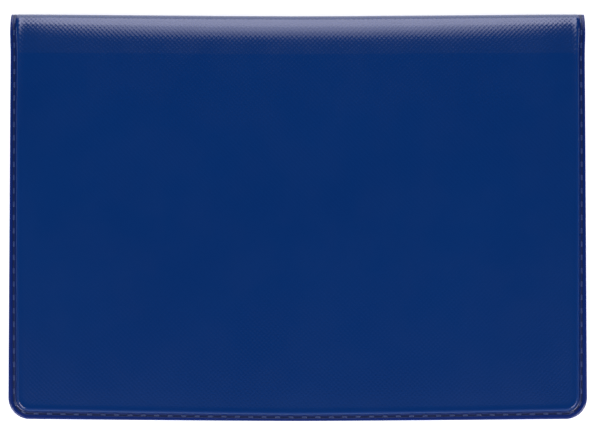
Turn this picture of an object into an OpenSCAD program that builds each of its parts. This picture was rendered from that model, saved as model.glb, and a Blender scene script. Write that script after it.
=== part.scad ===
// Passport holder: a folded cover of embossed vinyl over thin foam pads, lined, with one clear
// pocket inside each cover. All sheets are heat-welded together along a narrow seam on three
// edges, and the fold along the fourth edge is the hinge.
// The holder lies closed on its back cover. X runs along the fold, +Y points to the fold and
// +Z is up. The origin is at the middle of the underside.

/* [Closed holder] */
// Length along the fold
cover_length = 136; // [130:0.5:150]
// Depth from the open edge to the outside of the fold
cover_depth = 96; // [92:0.5:110]
// Height at the fold
closed_height = 6.8; // [6.6:0.1:9]
// How far the rounded fold reaches beyond the flat covers
fold_reach = 5; // [4:0.1:7]
// Radius of the corners at the open edge
corner_radius = 5; // [3:0.5:12]

/* [Sheets] */
// Thickness of the embossed outer vinyl
outer_thickness = 0.4; // [0.3:0.05:0.5]
// Thickness of the foam pad in each cover
foam_thickness = 0.6; // [0.4:0.1:0.7]
// Thickness of the lining
lining_thickness = 0.2; // [0.15:0.05:0.3]
// Thickness of the clear pocket film
film_thickness = 0.25; // [0.2:0.05:0.3]
// Clear height inside a pocket
pocket_gap = 0.8; // [0.6:0.1:0.9]
// Depth of a pocket from the open edge towards the fold
pocket_depth = 70; // [50:1:80]

/* [Welded seam] */
// Width of the outer lip, outside the weld
lip_width = 0.5; // [0.3:0.1:1]
// Width of the pressed weld groove
groove_width = 0.85; // [0.6:0.05:1.5]
// Width of the bead between the groove and the cover
bead_width = 0.6; // [0.4:0.1:1]
// Drop from the cover's outside down to the lip
lip_drop = 0.45; // [0.3:0.05:0.5]
// Drop from the cover's outside down to the floor of the groove
groove_drop = 0.6; // [0.55:0.05:0.7]
// Distance between neighbouring false stitches
stitch_pitch = 3.15; // [2:0.05:5]
// Length of one false stitch
stitch_length = 1.2; // [0.8:0.1:1.5]
// Width of one false stitch
stitch_width = 0.4; // [0.2:0.05:0.6]

/* [Hidden] */
half_length = cover_length / 2;
open_edge_y = -cover_depth / 2;
fold_y = cover_depth / 2 - fold_reach;
half_height = closed_height / 2;
// Levels below the outside of a cover
foam_level = outer_thickness;
lining_level = foam_level + foam_thickness;
stack_thickness = lining_level + lining_thickness;
film_level = stack_thickness + pocket_gap;
seam_level = stack_thickness + 0.05;
bead_drop = 0.12;
foam_setback = 1;
// Distances in from the outer edge
groove_inset = lip_width;
bead_inset = groove_inset + groove_width;
seam_width = bead_inset + bead_width;
stitch_inset = lip_width + groove_width / 2;
mouth_y = open_edge_y + pocket_depth;
corner_x = half_length - corner_radius;
corner_y = open_edge_y + corner_radius;
// The fold is a half ellipse. Its quarter arc keeps its length when the holder opens flat,
// which fixes the two hinge lines just outside the fold.
flatness = pow((fold_reach - half_height) / (fold_reach + half_height), 2);
round_factor = 1 + 3 * flatness / (10 + sqrt(4 - 3 * flatness));
quarter_arc = PI / 4 * (fold_reach + half_height) * round_factor;
hinge_out = (quarter_arc + fold_reach - half_height) / 2;
hinge_down = (quarter_arc - fold_reach + half_height) / 2;
// Angle round the fold, from the end of the back cover, at which the cover and spine divide
split_angle = atan2(hinge_out / fold_reach, hinge_down / half_height);
split_gap = 3.5;
cover_end = split_angle - split_gap;
spine_start = split_angle + split_gap;
spine_end = 180 - spine_start;
// The false stitches follow the groove from the fold down a side, round the corner and along the
// open edge, all the same distance apart, and stop half a gap short of its middle
side_run = fold_y - corner_y;
stitch_radius = corner_radius - stitch_inset;
corner_run = PI / 2 * stitch_radius;
seam_run = side_run + corner_run + corner_x;
first_stitch = 0.8 * stitch_pitch;
stitch_gaps = round((seam_run - first_stitch) / stitch_pitch - 0.5);
stitch_step = (seam_run - first_stitch) / (stitch_gaps + 0.5);
// Angles round the fold of a cover's last two stitches, and the angle half a stitch spans
fold_stitches = [8, 36];
half_stitch = 8;
fold_steps = 10;
reach_over = 1;
$fn = 64;

vinyl_blue = [0.05, 0.18, 0.42];
weld_blue = [0.03, 0.13, 0.33];
stitch_blue = [0.16, 0.24, 0.42];
lining_blue = [0.08, 0.17, 0.34];
foam_white = [0.9, 0.9, 0.88];
film_clear = [0.8, 0.86, 0.92, 0.5];

// Points round the fold at one level below the outside
function fold_line(level, from, to) = [
    for (i = [0:fold_steps])
        let (angle = from + (to - from) * i / fold_steps)
            [fold_y + (fold_reach - level) * sin(angle),
             half_height - (half_height - level) * cos(angle)]
];

// Cross-section of one layer of the back cover, from beyond the open edge to the spine
function cover_section(top, bottom) = concat(
    [[open_edge_y - reach_over, top]],
    fold_line(top, 0, cover_end),
    fold_line(bottom, cover_end, 0),
    [[open_edge_y - reach_over, bottom]]
);

// Cross-section of one layer of the fold between two angles
function fold_section(top, bottom, from, to) =
    concat(fold_line(top, from, to), fold_line(bottom, to, from));

module along_fold(section) {
    rotate([90, 0, 90])
        translate([0, 0, -cover_length])
            linear_extrude(height = 2 * cover_length)
                polygon(section);
}

// Outline of the cover seen from above, moved in from its three welded edges
module outline(inset) {
    x = half_length - inset;
    r = corner_radius - inset;
    y = open_edge_y + inset;
    translate([-x, y + r])
        square([2 * x, cover_depth]);
    translate([r - x, y])
        square([2 * (x - r), cover_depth]);
    for (side = [-1, 1])
        translate([side * (x - r), y + r])
            circle(r = r);
}

module prism(inset) {
    translate([0, 0, -reach_over])
        linear_extrude(height = closed_height + 2 * reach_over)
            outline(inset);
}

// One sheet of a section, cut to the outline
module sheet(section, inset) {
    intersection() {
        along_fold(section);
        prism(inset);
    }
}

// One strip of a section that follows the three welded edges
module strip(section, inset, width) {
    difference() {
        sheet(section, inset);
        prism(inset + width);
    }
}

// Everything in front of or behind a line parallel to the fold
module keep_band(from_y, to_y) {
    intersection() {
        children();
        translate([-cover_length, from_y, -reach_over])
            cube([2 * cover_length, to_y - from_y, closed_height + 2 * reach_over]);
    }
}

module keep_side(side) {
    intersection() {
        children();
        translate([side > 0 ? 0 : -cover_length, -cover_depth, -reach_over])
            cube([cover_length, 2 * cover_depth, closed_height + 2 * reach_over]);
    }
}

// Turns a piece of the back cover into its twin on the front cover
module front() {
    translate([0, 0, closed_height])
        mirror([0, 0, 1])
            children();
}

module outer_panel() {
    sheet(cover_section(0, outer_thickness), seam_width);
}

module foam_pad() {
    keep_band(open_edge_y, fold_y - foam_setback)
        sheet(cover_section(foam_level, lining_level), seam_width);
}

module lining() {
    sheet(cover_section(lining_level, stack_thickness), seam_width);
}

module pocket() {
    keep_band(open_edge_y, mouth_y)
        sheet(cover_section(film_level, film_level + film_thickness), bead_inset);
}

// The whole weld of one cover: lip, groove, bead, and the rib under the pocket's edge
module cover_seam() {
    strip(cover_section(lip_drop, seam_level), 0, lip_width);
    strip(cover_section(groove_drop, seam_level), groove_inset, groove_width);
    strip(cover_section(bead_drop, stack_thickness), bead_inset, bead_width);
    keep_band(open_edge_y, mouth_y)
        strip(cover_section(stack_thickness, film_level), bead_inset, bead_width);
}

module side_seam(side) {
    keep_side(side)
        keep_band(corner_y, cover_depth)
            cover_seam();
}

module bottom_seam() {
    keep_band(open_edge_y - reach_over, corner_y)
        cover_seam();
}

// Place in the right half of the groove, and its turn, at a distance along it from the fold
function seam_point(run) =
    run < side_run ? [half_length - stitch_inset, fold_y - run, 0] :
    run < side_run + corner_run ?
        let (turn = (run - side_run) / stitch_radius * 180 / PI)
            [corner_x + stitch_radius * cos(turn), corner_y - stitch_radius * sin(turn), turn] :
    [seam_run - run, open_edge_y + stitch_inset, 90];

module stitch_block(side, place) {
    translate([side * place[0], place[1], (lip_drop + groove_drop) / 2])
        rotate([0, 0, -side * place[2]])
            cube([stitch_width, stitch_length, groove_drop - lip_drop], center = true);
}

// A false stitch wrapped round the fold at one angle
module fold_stitch(side, angle) {
    intersection() {
        along_fold(fold_section(lip_drop, groove_drop, angle - half_stitch, angle + half_stitch));
        translate([side * (half_length - stitch_inset) - stitch_width / 2, fold_y, 0])
            cube([stitch_width, 2 * fold_reach, closed_height]);
    }
}

module cover_stitches() {
    for (side = [-1, 1]) {
        for (i = [0:stitch_gaps])
            stitch_block(side, seam_point(first_stitch + i * stitch_step));
        for (angle = fold_stitches)
            fold_stitch(side, angle);
    }
}

module spine_sheet(top, bottom) {
    sheet(fold_section(top, bottom, spine_start, spine_end), seam_width);
}

module spine_seam(side) {
    keep_side(side) {
        strip(fold_section(lip_drop, seam_level, spine_start, spine_end), 0, lip_width);
        strip(fold_section(groove_drop, seam_level, spine_start, spine_end),
              groove_inset, groove_width);
        strip(fold_section(bead_drop, stack_thickness, spine_start, spine_end),
              bead_inset, bead_width);
    }
}

module back_outer_panel() { color(vinyl_blue) outer_panel(); }
module back_foam_pad() { color(foam_white) foam_pad(); }
module back_lining() { color(lining_blue) lining(); }
module back_pocket() { color(film_clear) pocket(); }
module back_left_seam() { color(weld_blue) side_seam(-1); }
module back_right_seam() { color(weld_blue) side_seam(1); }
module back_bottom_seam() { color(weld_blue) bottom_seam(); }
module back_stitches() { color(stitch_blue) cover_stitches(); }

module spine_outer() { color(vinyl_blue) spine_sheet(0, outer_thickness); }
module spine_lining() { color(lining_blue) spine_sheet(lining_level, stack_thickness); }
module spine_left_seam() { color(weld_blue) spine_seam(-1); }
module spine_right_seam() { color(weld_blue) spine_seam(1); }
module spine_stitches() { color(stitch_blue) for (side = [-1, 1]) fold_stitch(side, 90); }

module front_outer_panel() { color(vinyl_blue) front() outer_panel(); }
module front_foam_pad() { color(foam_white) front() foam_pad(); }
module front_lining() { color(lining_blue) front() lining(); }
module front_pocket() { color(film_clear) front() pocket(); }
module front_left_seam() { color(weld_blue) front() side_seam(-1); }
module front_right_seam() { color(weld_blue) front() side_seam(1); }
module front_bottom_seam() { color(weld_blue) front() bottom_seam(); }
module front_stitches() { color(stitch_blue) front() cover_stitches(); }

back_outer_panel();
back_foam_pad();
back_lining();
back_pocket();
back_left_seam();
back_right_seam();
back_bottom_seam();
back_stitches();
spine_outer();
spine_lining();
spine_left_seam();
spine_right_seam();
spine_stitches();
front_outer_panel();
front_foam_pad();
front_lining();
front_pocket();
front_left_seam();
front_right_seam();
front_bottom_seam();
front_stitches();
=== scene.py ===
"""A closed passport holder of embossed blue vinyl, modelled the way one is made: each sheet is
laid flat, its edges are pressed into the weld, and it is then folded over the spine."""
import math

import bpy
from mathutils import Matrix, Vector


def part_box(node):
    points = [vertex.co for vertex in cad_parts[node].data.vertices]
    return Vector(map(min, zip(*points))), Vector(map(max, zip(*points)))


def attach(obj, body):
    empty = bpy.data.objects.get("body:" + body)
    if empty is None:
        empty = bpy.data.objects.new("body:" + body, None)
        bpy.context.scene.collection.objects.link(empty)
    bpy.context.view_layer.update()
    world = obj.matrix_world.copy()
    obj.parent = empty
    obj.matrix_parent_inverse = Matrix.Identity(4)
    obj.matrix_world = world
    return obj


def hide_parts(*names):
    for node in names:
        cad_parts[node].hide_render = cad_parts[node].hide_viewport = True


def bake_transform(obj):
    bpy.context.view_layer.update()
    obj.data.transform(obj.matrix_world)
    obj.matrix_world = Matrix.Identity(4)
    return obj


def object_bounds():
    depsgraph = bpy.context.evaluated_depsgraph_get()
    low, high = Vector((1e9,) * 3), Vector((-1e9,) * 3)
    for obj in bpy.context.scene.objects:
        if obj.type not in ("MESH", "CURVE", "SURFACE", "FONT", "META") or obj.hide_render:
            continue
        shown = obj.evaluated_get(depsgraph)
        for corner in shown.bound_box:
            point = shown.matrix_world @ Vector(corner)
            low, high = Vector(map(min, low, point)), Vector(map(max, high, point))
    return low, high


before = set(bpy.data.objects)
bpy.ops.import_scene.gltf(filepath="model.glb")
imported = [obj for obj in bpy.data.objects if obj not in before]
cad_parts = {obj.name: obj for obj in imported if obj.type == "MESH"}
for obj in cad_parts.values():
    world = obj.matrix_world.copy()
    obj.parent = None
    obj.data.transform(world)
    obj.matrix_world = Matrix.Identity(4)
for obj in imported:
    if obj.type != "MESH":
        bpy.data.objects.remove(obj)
CAD_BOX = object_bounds()

MM = 0.001

# ---------------------------------------------------------------- sizes from the frame
LOW, HIGH = CAD_BOX
HALF_WIDTH = (HIGH.x - LOW.x) / 2
DEPTH = HIGH.y - LOW.y
MIDDLE_Z = (HIGH.z + LOW.z) / 2
HALF_HEIGHT = (HIGH.z - LOW.z) / 2
# The outer sheet's thickness: the foam starts where it ends
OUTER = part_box("back_foam_pad")[0].z
FILM_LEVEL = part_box("back_pocket")[0].z
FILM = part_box("back_pocket")[1].z - FILM_LEVEL
MOUTH_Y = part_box("back_pocket")[1].y
FOAM_END_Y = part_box("back_foam_pad")[1].y
# The pads stop 1 mm short of the place that the stitches are counted from
FOLD_Y = FOAM_END_Y + 1 * MM
CORNER = 5 * MM
CORNER_STEPS = 14
LINING = 0.2 * MM

# ---------------------------------------------------------------- sizes of the soft shape
# The long edges bow by this much at the middle, towards the open edge. At 1 the bow is two
# straight runs that meet at the middle, at 2 it is evenly round
BOW = 0.54 * MM
BOW_EASE = 1.35
# The fold is pressed lower by this share of its height at its two ends,
END_PINCH = 0.12
# and is back at full height this share of the sheet's length from the spine
PINCH_END = 0.35
# The welded ends spread by this much just below the fold, about FLARE_AT from the spine
FLARE = 0.16 * MM
FLARE_AT = 6 * MM
FLARE_REACH = 3.5 * MM
# How the fold's curve eases into the covers: 1 is a round tube, more has a longer tail
FOLD_EASE = 3.3
FOLD_STEPS = 240
# The weld is stretched round the fold, and sinks only this share of its depth there
FOLD_SEAM_DEPTH = 0.08
FOLD_SEAM_REACH = 9 * MM

# At the rounded corners the lip is this much wider. The weld's bands move in with it, from
# WIDER_START to WIDER_FULL from the cut edge, and less and less up to WIDER_REACH
WIDER = 0.42 * MM
WIDER_START = 0.45 * MM
WIDER_FULL = 2.6 * MM
WIDER_REACH = 5 * MM


def eased(share):
    """0 to 1 with a soft start and end."""
    share = max(0.0, min(1.0, share))
    return share * share * (3 - 2 * share)


def fold_table():
    """Shares of the fold's arc with the height and reach gone through by then, for an arc of 1."""
    rows = [(0.0, 0.0)]
    height = reach = 0.0
    for i in range(FOLD_STEPS):
        slope = math.pi / 2 * (1 - (i + 0.5) / FOLD_STEPS) ** FOLD_EASE
        height += math.sin(slope) / FOLD_STEPS
        reach += math.cos(slope) / FOLD_STEPS
        rows.append((height, reach))
    return rows


FOLD = fold_table()
ARC = HALF_HEIGHT / FOLD[-1][0]
REACH = ARC * FOLD[-1][1]
SHEET_LENGTH = DEPTH - REACH + ARC


def along_at(y):
    """Distance from the middle of the spine, on the flat sheet, of a place on a flat cover."""
    return DEPTH / 2 - y + ARC - REACH


def across(x):
    """0 at the middle of the holder and 1 at its two ends."""
    return min(1.0, abs(x) / HALF_WIDTH) ** 2


def folded(x, along, level, side):
    """Where a point of a flat sheet lies on the closed holder. along is its distance from the
    middle of the spine, level its distance below the outside, side 1 for the front cover."""
    pinch = 1 - END_PINCH * across(x) ** 2
    arc = ARC * pinch
    reach = REACH * pinch
    end_y = DEPTH / 2 - BOW / 2 + BOW * min(1.0, abs(x) / HALF_WIDTH) ** BOW_EASE
    if along < arc:
        share = along / arc * FOLD_STEPS
        i = min(FOLD_STEPS - 1, int(share))
        part = share - i
        height = arc * (FOLD[i][0] + part * (FOLD[i + 1][0] - FOLD[i][0]))
        run = arc * (FOLD[i][1] + part * (FOLD[i + 1][1] - FOLD[i][1]))
        slope = math.pi / 2 * (1 - along / arc) ** FOLD_EASE
    else:
        height = HALF_HEIGHT * pinch
        run = reach + (along - arc) * (DEPTH - reach) / (SHEET_LENGTH - arc)
        slope = 0.0
    # The pinched ends rise back to the cover's own height away from the fold
    height += HALF_HEIGHT * (1 - pinch) * eased(along / (PINCH_END * SHEET_LENGTH))
    flare = FLARE * math.exp(-(((along - FLARE_AT) / FLARE_REACH) ** 2))
    return (
        x * (1 + flare / HALF_WIDTH * across(x)),
        end_y - run - level * math.sin(slope),
        MIDDLE_Z + side * (height - level * math.cos(slope)),
    )


def edge_distance(x, along):
    """Distance from a point of the flat sheet to its welded edges."""
    side_gap = HALF_WIDTH - abs(x)
    end_gap = SHEET_LENGTH - along
    if side_gap < CORNER and end_gap < CORNER:
        return CORNER - math.hypot(CORNER - side_gap, CORNER - end_gap)
    return min(side_gap, end_gap)


def widened(x, along):
    """Where a point of the weld lies once its bands are moved in near the rounded corners, where
    the lip outside them is wider."""
    gap = edge_distance(x, along)
    side_gap = HALF_WIDTH - abs(x)
    end_gap = SHEET_LENGTH - along
    if gap >= WIDER_REACH:
        return x, along
    if side_gap < CORNER and end_gap < CORNER:
        outward = Vector((CORNER - side_gap, CORNER - end_gap)).normalized()
        away = 0.0
    elif side_gap < end_gap:
        outward = Vector((1, 0))
        away = end_gap - CORNER
    else:
        outward = Vector((0, 1))
        away = side_gap - CORNER
    near = max(0.0, 1 - away / (HALF_WIDTH - CORNER)) ** BOW_EASE
    share = eased(gap / WIDER_START) * (1 - eased((gap - WIDER_FULL) / (WIDER_REACH - WIDER_FULL)))
    move = WIDER * near * share
    return x - math.copysign(move * outward.x, x), along - move * outward.y


# ---------------------------------------------------------------- colour and nodes
def colour(code):
    """An sRGB hex colour as the linear RGBA that a shader socket takes."""
    out = []
    for i in (0, 2, 4):
        c = int(code[i : i + 2], 16) / 255
        out.append(c / 12.92 if c <= 0.04045 else ((c + 0.055) / 1.055) ** 2.4)
    return (*out, 1.0)


def node(tree, kind, settings=None, **inputs):
    """Adds a node. settings are its properties; inputs are values, or sockets to link from."""
    made = tree.nodes.new(kind)
    for name, value in (settings or {}).items():
        setattr(made, name, value)
    for name, value in inputs.items():
        key = int(name[1:]) if name[0] == "_" else name.replace("_", " ")
        if isinstance(value, bpy.types.NodeSocket):
            tree.links.new(value, made.inputs[key])
        else:
            made.inputs[key].default_value = value
    return made


def new_material(name):
    made = bpy.data.materials.new(name)
    made.use_nodes = True
    made.node_tree.nodes.clear()
    return made, made.node_tree


def maths(tree, operation, first, second=0.0):
    return node(tree, "ShaderNodeMath", {"operation": operation}, _0=first, _1=second).outputs[0]


def between(tree, value, start, end, low=0.0, high=1.0):
    """low where value is at start and high where it is at end, with a soft start and end."""
    return node(
        tree, "ShaderNodeMapRange", {"interpolation_type": "SMOOTHSTEP"},
        Value=value, From_Min=start, From_Max=end, To_Min=low, To_Max=high,
    ).outputs[0]


def band(tree, value, start, middle, end):
    """1 where value is at middle, falling to 0 at start and at end."""
    rise = between(tree, value, start, middle)
    return maths(tree, "MULTIPLY", rise, between(tree, value, middle, end, 1.0, 0.0))


def mixed(tree, share, first, second):
    made = node(tree, "ShaderNodeMix", {"data_type": "RGBA"}, _0=share)
    for key, value in ((6, first), (7, second)):
        if isinstance(value, bpy.types.NodeSocket):
            tree.links.new(value, made.inputs[key])
        else:
            made.inputs[key].default_value = value
    return made.outputs[2]


def clouds(tree, size, detail=2.0):
    """Soft noise from 0 to 1, its lumps size metres across."""
    place = node(tree, "ShaderNodeTexCoord")
    return node(
        tree, "ShaderNodeTexNoise", None,
        Vector=place.outputs["Object"], Scale=1 / size, Detail=detail,
    ).outputs[0]


def crossed_lines(tree, pitch):
    """Height of two sets of fine ridges, 45 degrees either way, pitch metres apart."""
    place = node(tree, "ShaderNodeUVMap", {"uv_map": "flat"})
    split = node(tree, "ShaderNodeSeparateXYZ", None, Vector=place.outputs[0])
    turn = 2 * math.pi / (pitch * math.sqrt(2))
    waves = []
    for operation in ("ADD", "SUBTRACT"):
        both = maths(tree, operation, split.outputs[0], split.outputs[1])
        waves.append(maths(tree, "SINE", maths(tree, "MULTIPLY", both, turn)))
    return maths(tree, "ADD", waves[0], waves[1])


def raised(tree, height, depth, below=None):
    """A bump depth metres high for a height of 1, on top of the bump below."""
    made = node(tree, "ShaderNodeBump", None, Strength=1.0, Distance=depth, Height=height)
    if below:
        tree.links.new(below, made.inputs["Normal"])
    return made.outputs[0]


def surface(tree, shader):
    node(tree, "ShaderNodeOutputMaterial", None, Surface=shader.outputs[0])


# ---------------------------------------------------------------- materials
EMBOSS_PITCH = 0.77 * MM
EMBOSS_DEPTH = 0.003 * MM
GRAIN_SIZE = 0.22 * MM
GRAIN_DEPTH = 0.0012 * MM
# Distance in from the cut edge, in metres, kept on the outer sheets
EDGE = "weld_distance"


def embossed_vinyl(name, gloss):
    """Calendered PVC leathercloth with a crossed diagonal emboss: satin, deep royal blue, with
    fine diagonal glints, and a painted highlight: paler along the crest of the bead beside the
    weld. Where it is stretched round the fold and handled it is burnished, and mirrors more."""
    made, tree = new_material(name)
    edge = node(tree, "ShaderNodeAttribute", {"attribute_name": EDGE}).outputs["Fac"]
    patches = clouds(tree, 26 * MM)
    body = mixed(tree, patches, colour("023270"), colour("033675"))
    # Paler along the crest of the bead: a painted highlight, where the light catches it
    crest_highlight = maths(tree, "MULTIPLY", band(tree, edge, 1.5 * MM, 1.85 * MM, 2.3 * MM), 0.3)
    base = mixed(tree, crest_highlight, body, colour("12418F"))
    relief = raised(tree, crossed_lines(tree, EMBOSS_PITCH), EMBOSS_DEPTH)
    relief = raised(tree, clouds(tree, GRAIN_SIZE), GRAIN_DEPTH, relief)
    shader = node(
        tree, "ShaderNodeBsdfPrincipled", None,
        Base_Color=base, IOR=1.5, Normal=relief, Specular_IOR_Level=gloss,
        Roughness=between(tree, clouds(tree, 9 * MM), 0.3, 0.7, 0.15, 0.18),
    )
    surface(tree, shader)
    return made


def pressed_vinyl():
    """The same PVC where the hot weld bar pressed it flat: smooth and saturated on the lip, with a
    painted highlight along its cut edge. The floor of the groove is painted darker and greyer, as
    shade in the recess, and the bar's fine knurl printed there leaves it duller."""
    made, tree = new_material("vinyl_weld_pressed")
    edge = node(tree, "ShaderNodeAttribute", {"attribute_name": EDGE}).outputs["Fac"]
    floor = band(tree, edge, 0.45 * MM, 0.85 * MM, 1.4 * MM)
    # Darker and greyer on the floor of the groove: painted shade in the recess
    body = mixed(tree, floor, colour("05276F"), colour("061F49"))
    # Paler at the cut edge: a painted highlight on its rounded edge
    cut = between(tree, edge, 0.0, 0.16 * MM, 0.6, 0.0)
    base = mixed(tree, cut, body, colour("3C55A8"))
    knurl = raised(tree, clouds(tree, 0.3 * MM, 3.0), 0.003 * MM)
    shader = node(
        tree, "ShaderNodeBsdfPrincipled", None,
        Base_Color=base, IOR=1.5, Normal=knurl,
        Roughness=maths(tree, "ADD", maths(tree, "MULTIPLY", floor, 0.1), 0.18),
    )
    surface(tree, shader)
    return made


def stitch_vinyl():
    """PVC drawn up into the notches of the weld bar: small bumps, a little duller, and painted
    greyer and paler than the groove as a highlight where they catch the light.
    """
    made, tree = new_material("vinyl_weld_false_stitch")
    # Greyer and paler than the groove: a painted highlight on the raised bumps
    base = mixed(tree, clouds(tree, 1.5 * MM), colour("263A68"), colour("37497A"))
    shader = node(
        tree, "ShaderNodeBsdfPrincipled", None,
        Base_Color=base, IOR=1.5, Roughness=0.3,
        Normal=raised(tree, clouds(tree, 0.2 * MM), 0.004 * MM),
    )
    surface(tree, shader)
    return made


def lining_vinyl():
    """Plain PVC lining with a sand grain: even and slightly dull."""
    made, tree = new_material("vinyl_lining_sand_grain")
    base = mixed(tree, clouds(tree, 18 * MM), colour("0D2D63"), colour("10346F"))
    grain = raised(tree, clouds(tree, 0.35 * MM, 3.0), 0.012 * MM)
    shader = node(
        tree, "ShaderNodeBsdfPrincipled", None,
        Base_Color=base, IOR=1.5, Normal=grain,
        Roughness=between(tree, clouds(tree, 7 * MM), 0.3, 0.7, 0.4, 0.52),
    )
    surface(tree, shader)
    return made


def clear_film():
    """Clear soft PVC film: seen through, faintly blue, with a sheen that its ripples break up."""
    made, tree = new_material("vinyl_film_clear")
    ripples = raised(tree, clouds(tree, 6 * MM), 0.05 * MM)
    facing = node(tree, "ShaderNodeLayerWeight", None, Blend=0.5, Normal=ripples).outputs["Facing"]
    glance = maths(tree, "MULTIPLY", maths(tree, "POWER", facing, 5.0), 0.9)
    through = node(tree, "ShaderNodeBsdfTransparent", None, Color=(0.93, 0.95, 0.97, 1))
    shine = node(
        tree, "ShaderNodeBsdfGlossy", None,
        Color=(1, 1, 1, 1), Normal=ripples,
        Roughness=between(tree, clouds(tree, 11 * MM), 0.3, 0.7, 0.06, 0.14),
    )
    both = node(
        tree, "ShaderNodeMixShader", None,
        _0=maths(tree, "ADD", glance, 0.04), _1=through.outputs[0], _2=shine.outputs[0],
    )
    surface(tree, both)
    return made


def foam():
    """Closed-cell PU foam, sliced: chalky white, with the cut cells as fine pits, painted darker
    towards their middles as shade.
    """
    made, tree = new_material("foam_closed_cell_sliced")
    place = node(tree, "ShaderNodeTexCoord")
    cells = node(
        tree, "ShaderNodeTexVoronoi", None,
        Vector=place.outputs["Object"], Scale=1 / (0.5 * MM),
    ).outputs[0]
    # Darker towards the middle of each pit: painted shade
    base = mixed(tree, cells, colour("D5D2C6"), colour("EDEBE4"))
    shader = node(
        tree, "ShaderNodeBsdfPrincipled", None,
        Base_Color=base, Normal=raised(tree, cells, 0.06 * MM),
        Roughness=between(tree, clouds(tree, 4 * MM), 0.3, 0.7, 0.85, 0.95),
    )
    surface(tree, shader)
    return made


EMBOSSED = embossed_vinyl("vinyl_calendered_embossed", 0.5)
BURNISHED = embossed_vinyl("vinyl_embossed_burnished_fold", 1.0)
PRESSED = pressed_vinyl()
STITCHED = stitch_vinyl()
LINED = lining_vinyl()
CLEAR = clear_film()
FOAM = foam()


# ---------------------------------------------------------------- hand work
def only(piece):
    bpy.ops.object.select_all(action="DESELECT")
    piece.select_set(True)
    bpy.context.view_layer.objects.active = piece


def edit(piece):
    only(piece)
    bpy.ops.object.mode_set(mode="EDIT")
    bpy.ops.mesh.select_all(action="SELECT")


def done():
    bpy.ops.object.mode_set(mode="OBJECT")


def apply(piece, kind, **settings):
    only(piece)
    modifier = piece.modifiers.new(kind.title(), kind)
    for name, value in settings.items():
        setattr(modifier, name, value)
    bpy.ops.object.modifier_apply(modifier=modifier.name)


def blank(name, profile, margin=0.0):
    """A sheet laid flat, outside up, for both covers at once, cut margin inside the holder's
    edge. profile is (distance in from the cut edge, level below the outside), both in mm: each
    step is an inset that raises or sinks what is left."""
    bpy.ops.object.select_all(action="DESELECT")
    bpy.ops.mesh.primitive_plane_add(size=2)
    piece = bpy.context.object
    piece.name = piece.data.name = name
    edit(piece)
    bpy.ops.transform.resize(value=(HALF_WIDTH - margin, SHEET_LENGTH - margin, 1))
    bpy.ops.mesh.bevel(
        offset=CORNER - margin, segments=CORNER_STEPS, affect="VERTICES", clamp_overlap=False
    )
    bpy.ops.mesh.select_all(action="SELECT")
    bpy.ops.transform.translate(value=(0, 0, -profile[0][1] * MM))
    for (near, start), (far, end) in zip(profile, profile[1:]):
        bpy.ops.mesh.inset(
            thickness=(far - near) * MM, depth=(start - end) * MM, use_even_offset=True
        )
    done()
    return piece


def cut(piece, places, axis):
    """Cuts the sheet across at each place along X (0) or Y (1)."""
    normal = [0, 0, 0]
    normal[axis] = 1
    edit(piece)
    for place in places:
        point = [0, 0, 0]
        point[axis] = place
        bpy.ops.mesh.select_all(action="SELECT")
        bpy.ops.mesh.bisect(plane_co=point, plane_no=normal)
    done()


def keep_beyond(piece, along):
    """Cuts away all but the stretch from along to the sheet's far end."""
    edit(piece)
    bpy.ops.mesh.bisect(plane_co=(0, along, 0), plane_no=(0, 1, 0), clear_inner=True)
    done()


def steps(start, end, size):
    count = max(1, round((end - start) / size))
    return [start + (end - start) * i / count for i in range(1, count)] + [end]


def keep_flat_place(piece):
    """Keeps each point's place on the flat sheet as a UV map, in metres, and its distance from
    the welded edge as an attribute."""
    layer = piece.data.uv_layers.new(name="flat")
    for loop in piece.data.loops:
        place = piece.data.vertices[loop.vertex_index].co
        layer.data[loop.index].uv = (place.x, place.y)
    kept = piece.data.attributes.new(EDGE, "FLOAT", "POINT")
    for vertex in piece.data.vertices:
        kept.data[vertex.index].value = max(0.0, edge_distance(vertex.co.x, vertex.co.y))


def widen(piece):
    for vertex in piece.data.vertices:
        vertex.co.x, vertex.co.y = widened(vertex.co.x, vertex.co.y)


def fold_over(piece, side):
    """Folds a flat piece over the spine onto the back (-1) or front (1) cover. With side 0, what
    lies past the middle of the spine goes to the back."""
    for vertex in piece.data.vertices:
        x, along, height = vertex.co
        toward = side or (1 if along >= 0 else -1)
        vertex.co = folded(x, abs(along), -height, toward)
    if side < 0:
        edit(piece)
        bpy.ops.mesh.flip_normals()
        done()


def smooth(piece, degrees=50):
    only(piece)
    bpy.ops.object.shade_smooth_by_angle(angle=math.radians(degrees))


# ---------------------------------------------------------------- cloth that settles in its welds
CLOTH_CELL = 3 * MM
# The solver is steadier with a sheet ten times the real size
CLOTH_SCALE = 10
CLOTH_FRAMES = 20
# A slight unevenness, so that the cloth has a way to buckle
BUCKLE = 0.2 * MM


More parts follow.
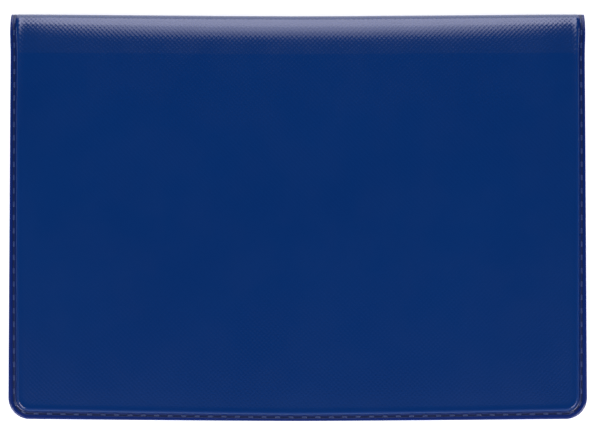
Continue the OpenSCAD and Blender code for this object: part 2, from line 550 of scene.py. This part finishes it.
def settled(width, length, push, slack, most):
    """Lets a cloth settle that is held at both sides and the far end, and free at the near end.
    push blows it up and slack is how much too large it was cut. Gives its height, capped at
    most, as a function of x and the distance from the free end."""
    columns = round(width / CLOTH_CELL)
    rows = round(length / CLOTH_CELL)
    bpy.ops.object.select_all(action="DESELECT")
    bpy.ops.mesh.primitive_grid_add(x_subdivisions=columns, y_subdivisions=rows, size=2)
    cloth = bpy.context.object
    places = {}
    held = []
    for vertex in cloth.data.vertices:
        i = round((vertex.co.x + 1) / 2 * columns)
        j = round((vertex.co.y + 1) / 2 * rows)
        places[i, j] = vertex.index
        if i in (0, columns) or j == rows:
            held.append(vertex.index)
        vertex.co.x *= width / 2 * CLOTH_SCALE
        vertex.co.y *= length / 2 * CLOTH_SCALE
        if vertex.index not in held:
            unevenness = math.sin(0.9 * i) * math.sin(0.7 * j + 0.3 * i)
            vertex.co.z = BUCKLE * CLOTH_SCALE * unevenness
    cloth.vertex_groups.new(name="weld").add(held, 1.0, "REPLACE")
    modifier = cloth.modifiers.new("Cloth", "CLOTH")
    modifier.point_cache.frame_end = CLOTH_FRAMES
    modifier.settings.quality = 8
    modifier.settings.effector_weights.gravity = 0
    modifier.settings.vertex_group_mass = "weld"
    modifier.settings.use_pressure = True
    modifier.settings.uniform_pressure_force = push
    modifier.settings.shrink_min = -slack
    modifier.settings.bending_stiffness = 2
    for number in range(1, CLOTH_FRAMES + 1):
        bpy.context.scene.frame_set(number)
    only(cloth)
    bpy.ops.object.modifier_apply(modifier=modifier.name)
    heights = {
        place: max(-most, min(most, cloth.data.vertices[index].co.z / CLOTH_SCALE))
        for place, index in places.items()
    }
    bpy.data.objects.remove(cloth)
    bpy.context.scene.frame_set(1)

    def height(x, run):
        u = max(0.0, min(1.0, x / width + 0.5)) * columns
        v = max(0.0, min(1.0, run / length)) * rows
        i = min(columns - 1, int(u))
        j = min(rows - 1, int(v))
        u = eased(u - i)
        v = eased(v - j)
        near = heights[i, j] * (1 - u) + heights[i + 1, j] * u
        far = heights[i, j + 1] * (1 - u) + heights[i + 1, j + 1] * u
        return near * (1 - v) + far * v

    return height


# ---------------------------------------------------------------- the outer sheet
FOLD_ROWS = (
    [0.05 * MM, 0.15 * MM]
    + steps(0.15 * MM, 4 * MM, 0.2 * MM)
    + steps(4 * MM, 12 * MM, 0.5 * MM)
)
CELL = 2.5 * MM
COVER_ROWS = steps(12 * MM, SHEET_LENGTH - CELL, CELL)
COLUMNS = steps(-HALF_WIDTH + CELL, HALF_WIDTH - CELL, CELL)

# From the cut edge inwards: rounded lip, pressed groove, shoulder, bead, and the eased rim of
# the padded cover. Each is (distance in, level below the cover's outside), in mm.
RIM_LEVEL = 0.12
COVER_PROFILE = [
    (0.00, 0.58), (0.05, 0.50), (0.14, 0.46), (0.28, 0.45), (0.48, 0.455), (0.54, 0.47),
    (0.56, 0.52), (0.58, 0.58), (0.64, 0.60), (1.22, 0.60), (1.32, 0.57), (1.42, 0.46),
    (1.52, 0.31), (1.62, 0.20), (1.72, 0.13), (1.84, 0.085), (1.96, 0.065), (2.10, 0.06),
    (2.30, 0.075), (2.70, 0.11), (3.40, RIM_LEVEL),
]
# The weld bar pressed everything out to here
PRESSED_WIDTH = 1.45 * MM
# The foam lifts the sheet from here inwards
PAD_INSET = 2.6 * MM
PAD_WIDTH = 2 * (HALF_WIDTH - PAD_INSET)
PAD_LENGTH = SHEET_LENGTH - PAD_INSET
# The panel reaches its full level once the cloth has risen by a few times this much
PAD_EASE = 0.9 * MM


def seam_depth(along):
    """How much of its depth the weld keeps near the fold."""
    return FOLD_SEAM_DEPTH + (1 - FOLD_SEAM_DEPTH) * eased(along / FOLD_SEAM_REACH)


def padding():
    """How far the foam lifts the outer sheet above its rim, from a cloth blown up in its welds."""
    blown = settled(PAD_WIDTH, PAD_LENGTH, push=2.0, slack=0.0, most=6 * MM)

    def rise(x, along):
        return RIM_LEVEL * MM * (1 - math.exp(-max(0.0, blown(x, along)) / PAD_EASE))

    return rise


def cover_sheet(name, side, rise):
    piece = blank(name, COVER_PROFILE)
    cut(piece, FOLD_ROWS + COVER_ROWS, 1)
    cut(piece, COLUMNS, 0)
    keep_beyond(piece, 0)
    for vertex in piece.data.vertices:
        x, along, height = vertex.co
        vertex.co.z = height * seam_depth(along) + rise(x, along)
    piece.data.materials.append(EMBOSSED)
    piece.data.materials.append(PRESSED)
    piece.data.materials.append(BURNISHED)
    for face in piece.data.polygons:
        x, along = face.center.xy
        if edge_distance(x, along) < PRESSED_WIDTH:
            face.material_index = 1
        elif along < ARC:
            face.material_index = 2
    apply(piece, "SOLIDIFY", thickness=OUTER, offset=-1)
    keep_flat_place(piece)
    widen(piece)
    fold_over(piece, side)
    smooth(piece)
    return piece


# ---------------------------------------------------------------- false stitches
STITCH_PITCH = 3.15 * MM
STITCH_INSET = 0.925 * MM
STITCH_RADIUS = CORNER - STITCH_INSET
SIDE_RUN = SHEET_LENGTH - CORNER - along_at(FOLD_Y)
CORNER_RUN = math.pi / 2 * STITCH_RADIUS
STITCH = Vector((0.46, 1.25, 0.32)) * MM
STITCH_MIDDLE = -0.6 * MM
STITCH_ROUNDING = 0.15 * MM
# The first stitch lies this share of a pitch past the end of the fold
FIRST_STITCH = 0.8


def stitch():
    """One bump of the weld: a pill with well rounded edges."""
    bpy.ops.object.select_all(action="DESELECT")
    bpy.ops.mesh.primitive_cube_add(size=1)
    piece = bpy.context.object
    edit(piece)
    bpy.ops.transform.resize(value=STITCH)
    bpy.ops.mesh.bevel(offset=STITCH_ROUNDING, segments=3, affect="EDGES")
    done()
    cut(piece, [-0.25 * MM, 0.0, 0.25 * MM], 1)
    return piece


def seam_path(run):
    """x, along and turn at a distance down the right-hand groove, round the corner and along the
    open edge, from the end of the fold."""
    if run < SIDE_RUN:
        return HALF_WIDTH - STITCH_INSET, along_at(FOLD_Y) + run, 0.0
    bend = (run - SIDE_RUN) / STITCH_RADIUS
    if bend < math.pi / 2:
        x = HALF_WIDTH - CORNER + STITCH_RADIUS * math.cos(bend)
        return x, SHEET_LENGTH - CORNER + STITCH_RADIUS * math.sin(bend), bend
    over = run - SIDE_RUN - CORNER_RUN
    return HALF_WIDTH - CORNER - over, SHEET_LENGTH - STITCH_INSET, math.pi / 2


def stitch_row(name, side, places):
    """Copies the stitch to each (x, along, turn), as one piece on one cover."""
    pattern = stitch()
    copies = []
    for x, along, turn in places:
        copy = pattern.copy()
        copy.data = pattern.data.copy()
        bpy.context.collection.objects.link(copy)
        edit(copy)
        bpy.ops.transform.rotate(value=-turn, orient_axis="Z", center_override=(0, 0, 0))
        bpy.ops.transform.translate(value=(x, along, STITCH_MIDDLE))
        done()
        copies.append(copy)
    bpy.data.objects.remove(pattern)
    bpy.ops.object.select_all(action="DESELECT")
    for copy in copies:
        copy.select_set(True)
    row = bpy.context.view_layer.objects.active = copies[0]
    bpy.ops.object.join()
    row.name = row.data.name = name
    for vertex in row.data.vertices:
        vertex.co.z *= seam_depth(abs(vertex.co.y))
    row.data.materials.append(STITCHED)
    keep_flat_place(row)
    widen(row)
    fold_over(row, side)
    smooth(row)
    return row


# ---------------------------------------------------------------- lining, pads and pocket films
# Profiles as for the cover, and how far inside its cut edge each sheet is cut
LINING_PROFILE = [
    (0.00, 0.90), (0.55, 0.90), (0.64, 0.96), (1.28, 0.96), (1.60, 1.00), (2.40, 1.00),
]
LINING_MARGIN = 0.03 * MM
FILM_PROFILE = [
    (0.00, 1.12), (0.50, 1.12), (0.60, 1.18), (1.24, 1.18), (1.45, 1.28), (1.85, 1.60),
    (2.60, 1.90), (3.80, 2.00),
]
FILM_MARGIN = 0.06 * MM
FILM_CELL = 2 * MM
FILM_RIM = 4.5 * MM
FOAM_PROFILE = [(0.00, 0.78), (0.12, 0.62), (0.40, 0.54), (1.20, 0.52)]
FOAM_MARGIN = 2.3 * MM
FOAM_THICKNESS = 0.44 * MM


def lining_sheet(name, side):
    piece = blank(name, LINING_PROFILE, margin=LINING_MARGIN)
    cut(piece, FOLD_ROWS + COVER_ROWS, 1)
    cut(piece, COLUMNS, 0)
    keep_beyond(piece, 0)
    piece.data.materials.append(LINED)
    apply(piece, "SOLIDIFY", thickness=LINING, offset=-1)
    keep_flat_place(piece)
    fold_over(piece, side)
    smooth(piece)
    return piece


def film_sheet(name, side, ripple):
    """The clear pocket: welded on three sides, slack at its mouth towards the fold."""
    mouth = along_at(MOUTH_Y)
    piece = blank(name, FILM_PROFILE, margin=FILM_MARGIN)
    cut(piece, steps(mouth, SHEET_LENGTH - FILM_RIM, FILM_CELL), 1)
    cut(piece, steps(-HALF_WIDTH + FILM_RIM, HALF_WIDTH - FILM_RIM, FILM_CELL), 0)
    keep_beyond(piece, mouth)
    for vertex in piece.data.vertices:
        vertex.co.z -= ripple(vertex.co.x, vertex.co.y - mouth)
    piece.data.materials.append(CLEAR)
    apply(piece, "SOLIDIFY", thickness=FILM, offset=-1)
    keep_flat_place(piece)
    fold_over(piece, side)
    smooth(piece)
    return piece


def foam_sheet(name, side, rise):
    """The pad between the outer sheet and the lining, thinned to nothing much at its rim."""
    end = along_at(FOAM_END_Y) + 2 * MM
    piece = blank(name, FOAM_PROFILE, margin=FOAM_MARGIN)
    cut(piece, COVER_ROWS, 1)
    cut(piece, COLUMNS, 0)
    keep_beyond(piece, end)
    for vertex in piece.data.vertices:
        x, along, height = vertex.co
        vertex.co.z = height + rise(x, along)
    piece.data.materials.append(FOAM)
    apply(piece, "SOLIDIFY", thickness=FOAM_THICKNESS, offset=-1)
    keep_flat_place(piece)
    fold_over(piece, side)
    smooth(piece)
    return piece


def bend_between(piece):
    """Bakes the piece's transform into its mesh, and leaves it on no body."""
    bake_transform(piece)


POCKET_DEPTH = MOUTH_Y - LOW.y
# The film is free of its weld from here inwards
FILM_WELD = 3 * MM
padded_rise = padding()
film_ripple = settled(
    2 * (HALF_WIDTH - FILM_WELD), POCKET_DEPTH - FILM_WELD,
    push=0.05, slack=0.004, most=0.35 * MM,
)

seam_run = SIDE_RUN + CORNER_RUN + HALF_WIDTH - CORNER
first_stitch = FIRST_STITCH * STITCH_PITCH
stitch_gaps = round((seam_run - first_stitch) / STITCH_PITCH - 0.5)
stitch_step = (seam_run - first_stitch) / (stitch_gaps + 0.5)
stitch_places = [seam_path(first_stitch + i * stitch_step) for i in range(stitch_gaps + 1)]
# Two more lie on the bend of the fold, and the spine's own pair lies across its middle
first_along = along_at(FOLD_Y) + first_stitch
stitch_places += [(HALF_WIDTH - STITCH_INSET, i / 3 * first_along, 0.0) for i in (1, 2)]
stitch_places += [(-x, along, -turn) for x, along, turn in stitch_places]
spine_places = [(end * (HALF_WIDTH - STITCH_INSET), 0.0, 0.0) for end in (-1, 1)]

for cover, side in (("back", -1), ("front", 1)):
    sheet = cover_sheet(f"{cover}_cover_sheet", side, padded_rise)
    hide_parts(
        f"{cover}_outer_panel", f"{cover}_left_seam", f"{cover}_right_seam",
        f"{cover}_bottom_seam", "spine_outer", "spine_left_seam", "spine_right_seam",
    )
    bend_between(sheet)

    stitches = stitch_row(f"{cover}_stitch_row", side, stitch_places)
    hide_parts(f"{cover}_stitches")
    bend_between(stitches)

    lining = lining_sheet(f"{cover}_lining_sheet", side)
    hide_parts(f"{cover}_lining", "spine_lining")
    bend_between(lining)

    pad = foam_sheet(f"{cover}_foam_sheet", side, padded_rise)
    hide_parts(f"{cover}_foam_pad")
    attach(pad, f"{cover}_cover")

    film = film_sheet(f"{cover}_pocket_film", side, film_ripple)
    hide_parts(f"{cover}_pocket")
    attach(film, f"{cover}_cover")

spine_stitches = stitch_row("spine_stitch_pair", 0, spine_places)
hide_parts("spine_stitches")
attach(spine_stitches, "spine")


# ---------------------------------------------------------------- floor, light and camera
WALL_RADIUS = 2.2
WALL_HEIGHT = 0.24
FLOOR_SIZE = 5
WINDOW_TINT = (0.98, 0.97, 1.15)
CORNER_TINT = (1.0, 0.96, 1.04)


def studio():
    """A pale floor and a low pale wall all round it."""
    bpy.ops.object.select_all(action="DESELECT")
    bpy.ops.mesh.primitive_cylinder_add(
        vertices=96, radius=WALL_RADIUS, depth=WALL_HEIGHT, end_fill_type="NOTHING",
        location=(0, 0, WALL_HEIGHT / 2),
    )
    wall = bpy.context.object
    wall.name = "backdrop"
    bpy.ops.object.select_all(action="DESELECT")
    bpy.ops.mesh.primitive_plane_add(size=FLOOR_SIZE, location=(0, 0, 0))
    floor = bpy.context.object
    floor.name = "floor"
    made, tree = new_material("paper_white_matt")
    shader = node(
        tree, "ShaderNodeBsdfPrincipled", None,
        Base_Color=(0.85, 0.85, 0.85, 1), Roughness=0.9,
        Emission_Color=(1, 1, 1, 1), Emission_Strength=0.75,
    )
    surface(tree, shader)
    for piece in (floor, wall):
        piece.data.materials.append(made)


def softbox(name, place, size, radiance, tint=(1.0, 1.0, 1.0)):
    """A rectangular light that faces the holder, of an even brightness however large it is."""
    data = bpy.data.lights.new(name, "AREA")
    data.shape = "RECTANGLE"
    data.size, data.size_y = size
    data.energy = radiance * math.pi * size[0] * size[1]
    data.color = tint
    lamp = bpy.data.objects.new(name, data)
    bpy.context.collection.objects.link(lamp)
    lamp.location = place
    lamp.rotation_euler = (-Vector(place)).to_track_quat("-Z", "Y").to_euler()


studio()
# A tall window behind the fold, which the curve of the fold mirrors, fading towards its top
softbox("window_behind", (0, 0.71, 0.369), (0.35, 0.663), 2.9, WINDOW_TINT)
softbox("window_middle", (0, 0.447, 0.688), (0.26, 0.2), 1.95, WINDOW_TINT)
softbox("window_top", (0, 0.294, 0.766), (0.22, 0.144), 1.15, WINDOW_TINT)
# Weak light from above, and a cooler wall in front
softbox("ceiling", (0, -0.42, 1.1), (1.6, 0.8), 0.12)
softbox("front_wall", (0, -0.85, 0.36), (2.2, 0.9), 0.9, (0.8, 0.95, 1.25))
# Small strong lights, which glint on the bead at the rounded corners
softbox("corner_left", (-0.333, -0.234, 0.73), (0.18, 0.18), 15.0, CORNER_TINT)
softbox("corner_right", (0.333, -0.234, 0.73), (0.18, 0.18), 15.0, CORNER_TINT)

world = bpy.data.worlds.new("studio_dark")
bpy.context.scene.world = world
world.use_nodes = True
world.node_tree.nodes["Background"].inputs[0].default_value = (0.03, 0.03, 0.03, 1)

camera_data = bpy.data.cameras.new("camera")
camera = bpy.data.objects.new("camera", camera_data)
bpy.context.collection.objects.link(camera)
camera_data.sensor_width = 36
camera_data.lens = 173.9
CAMERA_TILT = math.radians(3.5)
CAMERA_DISTANCE = 0.69
CAMERA_OFFSET = Vector((0.54 * MM, 0.27 * MM, 0))
camera.location = CAMERA_OFFSET + CAMERA_DISTANCE * Vector(
    (0, -math.sin(CAMERA_TILT), math.cos(CAMERA_TILT))
)
camera.rotation_euler = (CAMERA_TILT, 0, 0)
bpy.context.scene.camera = camera
bpy.context.scene.view_settings.view_transform = "Standard"
